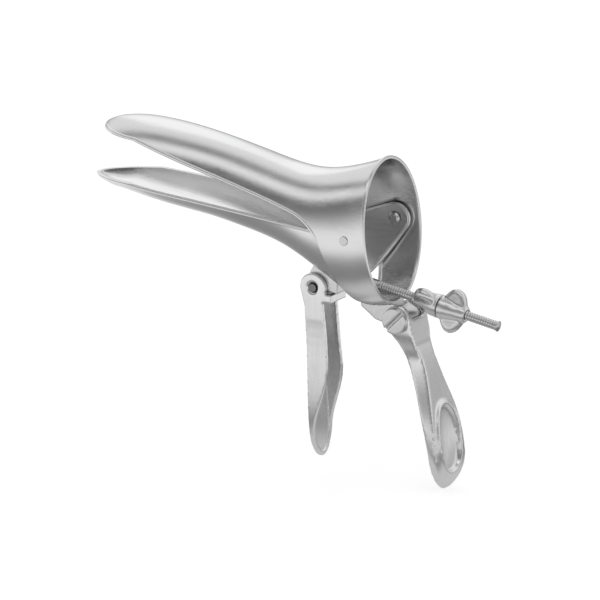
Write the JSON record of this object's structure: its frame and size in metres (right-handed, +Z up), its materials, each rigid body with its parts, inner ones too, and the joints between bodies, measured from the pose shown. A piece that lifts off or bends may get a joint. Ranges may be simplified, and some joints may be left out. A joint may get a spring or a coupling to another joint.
{
  "type": "bivalve speculum",
  "caption": "Two-bladed examination speculum with a viewing ring, hinged thumb lever, rear handle and a spindle with wing nuts.",
  "frame": {"origin": "the middle of the blades' pivot axis, in the viewing ring", "axes": "+X runs back along the spindle side of the viewing ring, +Y to the far side, +Z up"},
  "size_m": [0.171, 0.0428, 0.1258],
  "materials": {
    "upper_blade": "satin polished stainless steel",
    "handle_bracket": "satin polished stainless steel",
    "near_pivot_rivet": "satin polished stainless steel",
    "far_pivot_rivet": "satin polished stainless steel",
    "lower_blade": "satin polished stainless steel",
    "lever_bracket": "satin polished stainless steel",
    "lever_pin": "satin polished stainless steel",
    "spindle_clevis": "satin polished stainless steel",
    "spindle_pin": "satin polished stainless steel",
    "thumb_lever": "satin polished stainless steel",
    "rear_handle": "satin polished stainless steel",
    "handle_screw": "satin polished stainless steel",
    "spindle": "satin polished stainless steel",
    "inner_wing_nut": "satin polished stainless steel",
    "outer_wing_nut": "satin polished stainless steel"
  },
  "bodies": {
    "ring_body": {"upper_blade": "upper_blade", "handle_bracket": "handle_bracket", "near_pivot_rivet": "near_pivot_rivet", "far_pivot_rivet": "far_pivot_rivet"},
    "lower_blade_body": {"lower_blade": "lower_blade", "lever_bracket": "lever_bracket", "lever_pin": "lever_pin", "spindle_clevis": "spindle_clevis", "spindle_pin": "spindle_pin"},
    "lever_body": {"thumb_lever": "thumb_lever"},
    "handle_body": {"rear_handle": "rear_handle", "handle_screw": "handle_screw"},
    "spindle_body": {"spindle": "spindle"},
    "inner_nut_body": {"inner_wing_nut": "inner_wing_nut"},
    "outer_nut_body": {"outer_wing_nut": "outer_wing_nut"}
  },
  "joints": [
    {"name": "blade_opening", "type": "hinge", "parent": "ring_body", "child": "lower_blade_body", "pos_m": [0, 0, 0], "axis": [0, -1, 0], "range_deg": [-8.7, 18]},
    {"name": "lever_fold", "type": "hinge", "parent": "lower_blade_body", "child": "lever_body", "pos_m": [-0.0219, 0, -0.0245], "axis": [0, 1, 0], "range_deg": [0, 80]},
    {"name": "handle_swing", "type": "hinge", "parent": "ring_body", "child": "handle_body", "pos_m": [0.0146, 0, -0.0318], "axis": [0, -1, 0], "range_deg": [-12, 12]},
    {"name": "spindle_swing", "type": "hinge", "parent": "lower_blade_body", "child": "spindle_body", "pos_m": [-0.0085, 0, -0.0193], "axis": [0, -1, 0], "range_deg": [-18, 8]},
    {"name": "inner_nut_travel", "type": "slide", "parent": "spindle_body", "child": "inner_nut_body", "axis": [0.9852, 0, -0.1714], "range_m": [-0.0078, 0.0036]},
    {"name": "outer_nut_travel", "type": "slide", "parent": "inner_nut_body", "child": "outer_nut_body", "axis": [0.9852, 0, -0.1714], "range_m": [0, 0.009]}
  ],
  "couplings": [
    {"joint": "spindle_swing", "follows": "blade_opening", "ratio": -0.88},
    {"joint": "inner_nut_travel", "follows": "blade_opening", "m_per_rad": -0.021}
  ]
}
